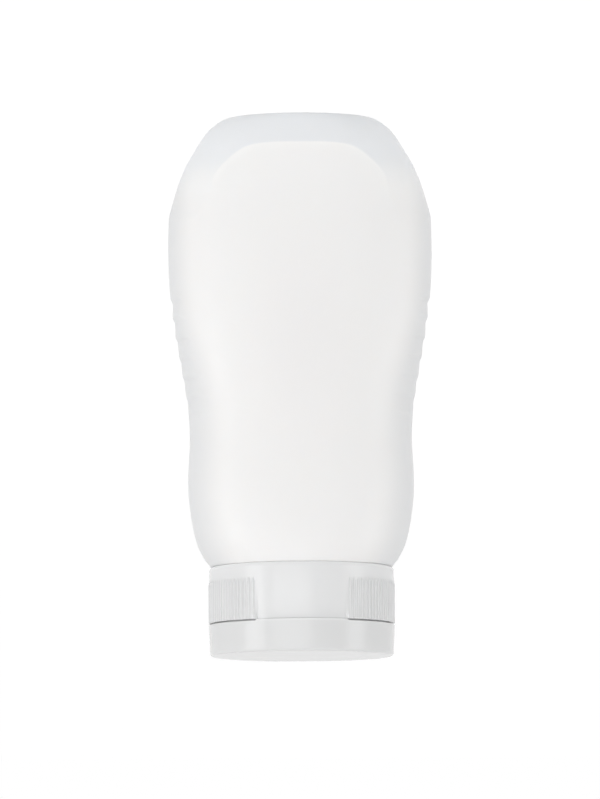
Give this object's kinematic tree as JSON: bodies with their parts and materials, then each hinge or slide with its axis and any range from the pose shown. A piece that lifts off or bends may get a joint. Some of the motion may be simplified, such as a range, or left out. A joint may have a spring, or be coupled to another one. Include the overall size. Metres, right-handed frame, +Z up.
{
  "type": "squeeze sauce bottle with flip cap",
  "caption": "Soft plastic squeeze sauce bottle with a wide oval body, tapered closed end, scalloped side grips and a ribbed screw cap with a hinged flip lid over a slit valve.",
  "frame": {"origin": "centre of the flat closed end that the bottle stands on", "axes": "+Z up the bottle to the lid's flat face, +X along the bottle's wide side, -Y towards the thumb side of the cap, lid hinge at +Y"},
  "size_m": [0.0833, 0.0585, 0.17],
  "materials": {
    "bottle_plastic": "satin translucent natural polyethylene",
    "cap_plastic": "semi-gloss natural white polypropylene",
    "valve_silicone": "matt translucent silicone",
    "liner_foam": "matt closed-cell foam"
  },
  "bodies": {
    "bottle": {"bottle_shell": "bottle_plastic"},
    "liner": {"neck_liner": "liner_foam"},
    "cap": {"cap_body": "cap_plastic", "slit_valve": "valve_silicone", "valve_retainer": "cap_plastic"},
    "lid": {"flip_lid": "cap_plastic"}
  },
  "joints": [
    {"name": "cap_advance", "type": "slide", "parent": "bottle", "child": "liner", "axis": [0, 0, 1], "range_m": [0, 0.00636]},
    {"name": "cap_turn", "type": "hinge", "parent": "liner", "child": "cap", "pos_m": [0, 0, 0.15], "axis": [0, 0, 1], "range_deg": [0, 540]},
    {"name": "lid_hinge", "type": "hinge", "parent": "cap", "child": "lid", "pos_m": [0, 0.0279, 0.1604], "axis": [-1, 0, 0], "range_deg": [0, 160]}
  ],
  "couplings": [
    {"joint": "cap_advance", "follows": "cap_turn", "m_per_rad": 0.00067371}
  ]
}
